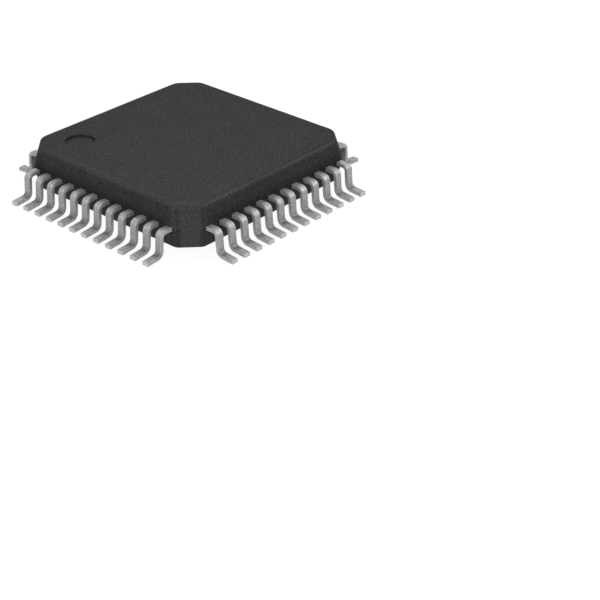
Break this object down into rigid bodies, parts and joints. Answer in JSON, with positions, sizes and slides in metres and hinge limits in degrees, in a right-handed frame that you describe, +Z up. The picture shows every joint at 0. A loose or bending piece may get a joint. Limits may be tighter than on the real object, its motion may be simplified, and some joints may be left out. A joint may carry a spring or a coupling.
{
  "type": "integrated circuit",
  "caption": "Square flat electronic package with a chamfered black moulded body, a round pin-1 recess and gull-wing leads along all four sides.",
  "frame": {"origin": "centre of the package on the seating plane that the lead feet stand on", "axes": "+Z up, out of the top face; pin 1 and its recess at the (-X, +Y) corner; pins count counter-clockwise seen from above, starting down the -X side"},
  "size_m": [0.009, 0.009, 0.0015],
  "materials": {
    "moulding_compound": "matte, fine-grained moulded epoxy",
    "tin_plated_lead": "matte tin plating on a copper alloy",
    "copper_pad": "satin copper alloy",
    "die_adhesive": "cured silver-filled adhesive",
    "silicon": null,
    "gold_wire": "bright gold"
  },
  "bodies": {
    "root": {"mould_body": "moulding_compound", "lead_01": "tin_plated_lead", "lead_02": "tin_plated_lead", "lead_03": "tin_plated_lead", "lead_04": "tin_plated_lead", "lead_05": "tin_plated_lead", "lead_06": "tin_plated_lead", "lead_07": "tin_plated_lead", "lead_08": "tin_plated_lead", "lead_09": "tin_plated_lead", "lead_10": "tin_plated_lead", "lead_11": "tin_plated_lead", "lead_12": "tin_plated_lead", "lead_13": "tin_plated_lead", "lead_14": "tin_plated_lead", "lead_15": "tin_plated_lead", "lead_16": "tin_plated_lead", "lead_17": "tin_plated_lead", "lead_18": "tin_plated_lead", "lead_19": "tin_plated_lead", "lead_20": "tin_plated_lead", "lead_21": "tin_plated_lead", "lead_22": "tin_plated_lead", "lead_23": "tin_plated_lead", "lead_24": "tin_plated_lead", "lead_25": "tin_plated_lead", "lead_26": "tin_plated_lead", "lead_27": "tin_plated_lead", "lead_28": "tin_plated_lead", "lead_29": "tin_plated_lead", "lead_30": "tin_plated_lead", "lead_31": "tin_plated_lead", "lead_32": "tin_plated_lead", "lead_33": "tin_plated_lead", "lead_34": "tin_plated_lead", "lead_35": "tin_plated_lead", "lead_36": "tin_plated_lead", "lead_37": "tin_plated_lead", "lead_38": "tin_plated_lead", "lead_39": "tin_plated_lead", "lead_40": "tin_plated_lead", "lead_41": "tin_plated_lead", "lead_42": "tin_plated_lead", "lead_43": "tin_plated_lead", "lead_44": "tin_plated_lead", "lead_45": "tin_plated_lead", "lead_46": "tin_plated_lead", "lead_47": "tin_plated_lead", "lead_48": "tin_plated_lead", "die_pad": "copper_pad", "die_attach": "die_adhesive", "die": "silicon", "bond_wires_01_12": "gold_wire", "bond_wires_13_24": "gold_wire", "bond_wires_25_36": "gold_wire", "bond_wires_37_48": "gold_wire"}
  },
  "joints": []
}
